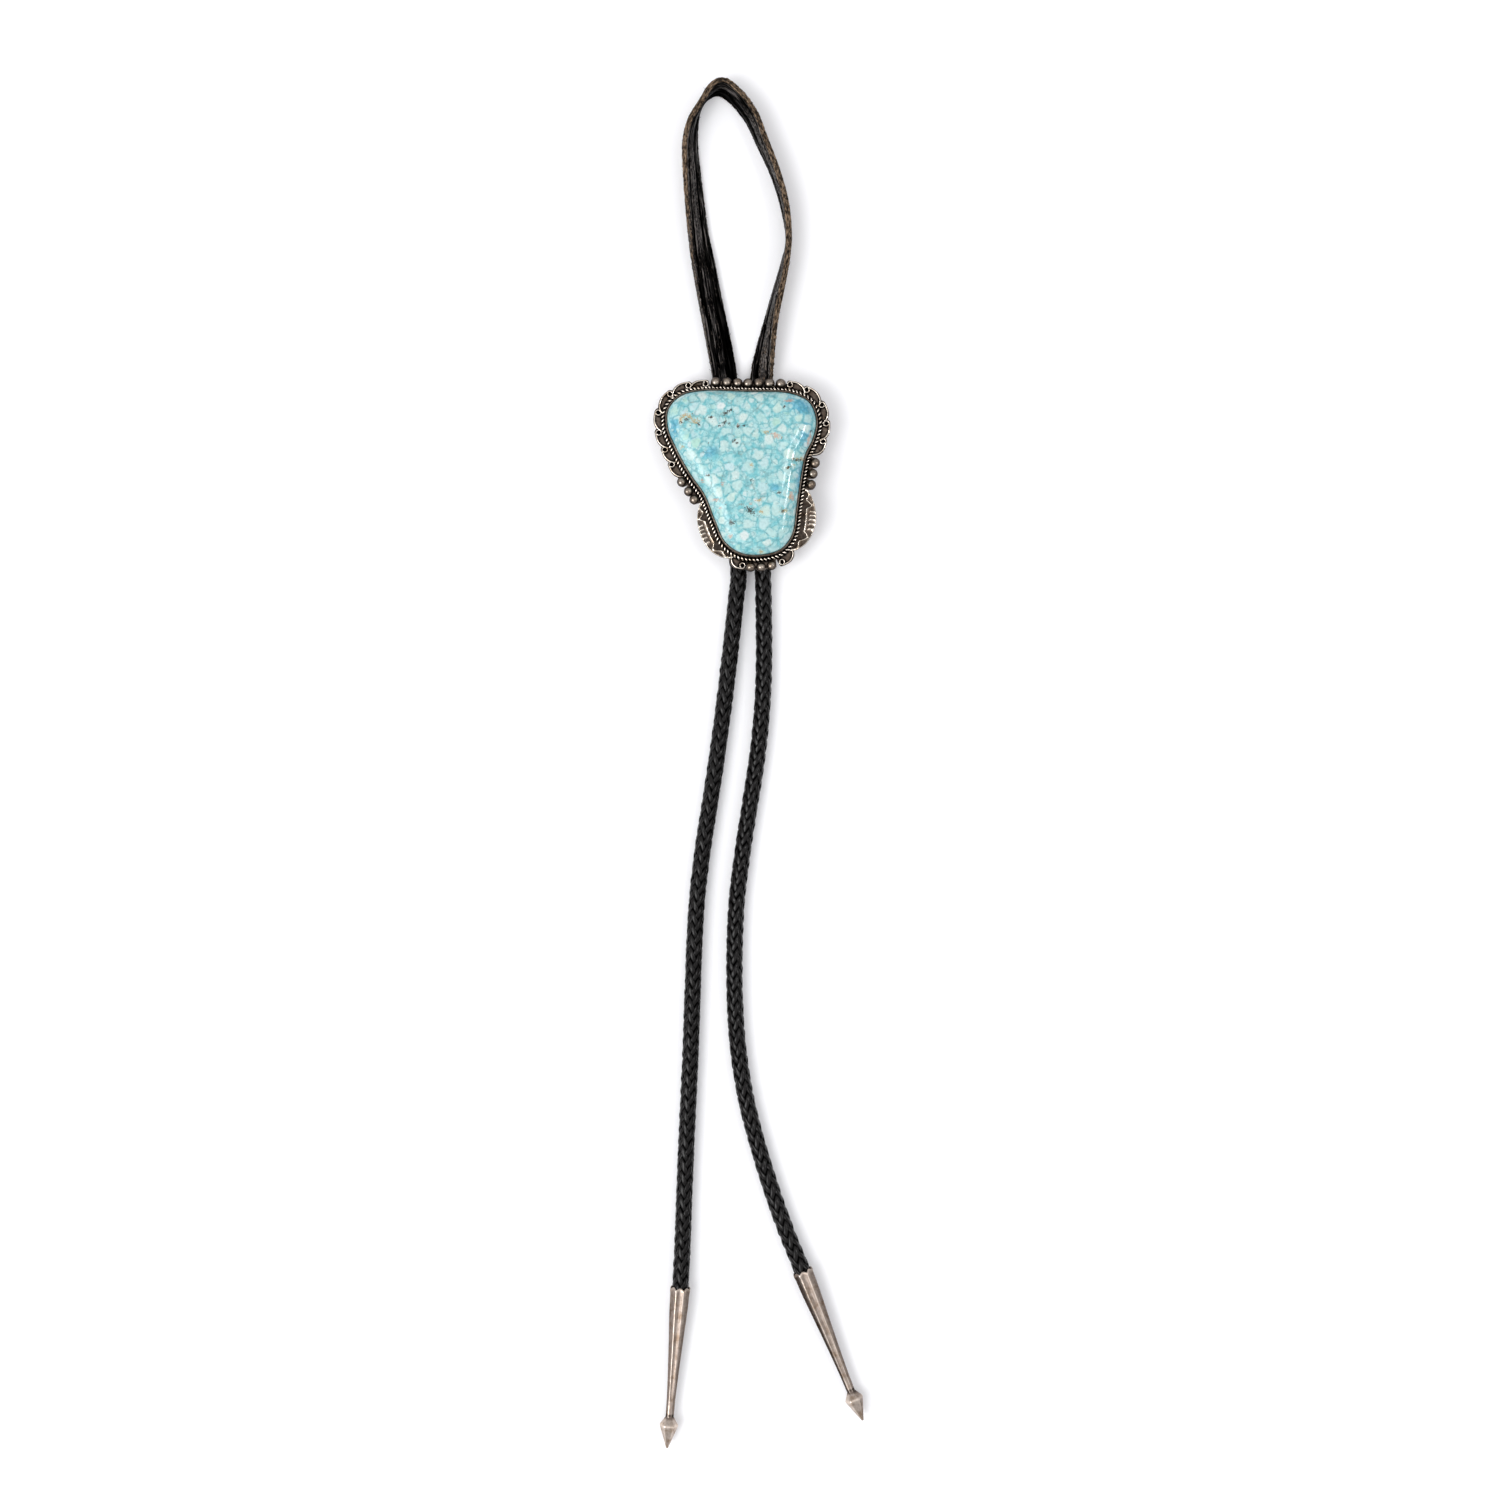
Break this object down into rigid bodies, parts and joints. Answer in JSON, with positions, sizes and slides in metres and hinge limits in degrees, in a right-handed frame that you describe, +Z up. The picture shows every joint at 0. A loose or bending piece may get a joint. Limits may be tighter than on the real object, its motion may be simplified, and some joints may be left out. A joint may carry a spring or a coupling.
{
  "type": "bolo tie",
  "caption": "Bolo tie laid flat: turquoise cabochon in a scrolled silver slide on a leather neck strap whose ends are braided into round tails with fluted silver tips.",
  "frame": {"origin": "on the table, under the middle of the slide's clip", "axes": "+Y along the tie from the tips to the neck strap, +Z up from the table through the stone, +X to the right as the stone is seen"},
  "size_m": [0.0733, 0.4769, 0.0183],
  "materials": {
    "turquoise": "polished stone, pale cells in a bluer web with brown matrix specks",
    "antique_silver": "oxidised silver, dark in the recesses and worn bright on the relief",
    "tip_silver": "lightly oxidised silver with a soft sheen and fine scratches",
    "clip_metal": "plain satin metal",
    "strap_leather": "black grain face with rough brown cut edges",
    "braid_leather": "black, smooth and slightly waxed"
  },
  "bodies": {
    "root": {"turquoise_stone": "turquoise", "silver_setting": "antique_silver", "slide_clip": "clip_metal", "neck_strap": "strap_leather", "left_braid": "braid_leather", "right_braid": "braid_leather", "left_tip": "tip_silver", "right_tip": "tip_silver"}
  },
  "joints": []
}
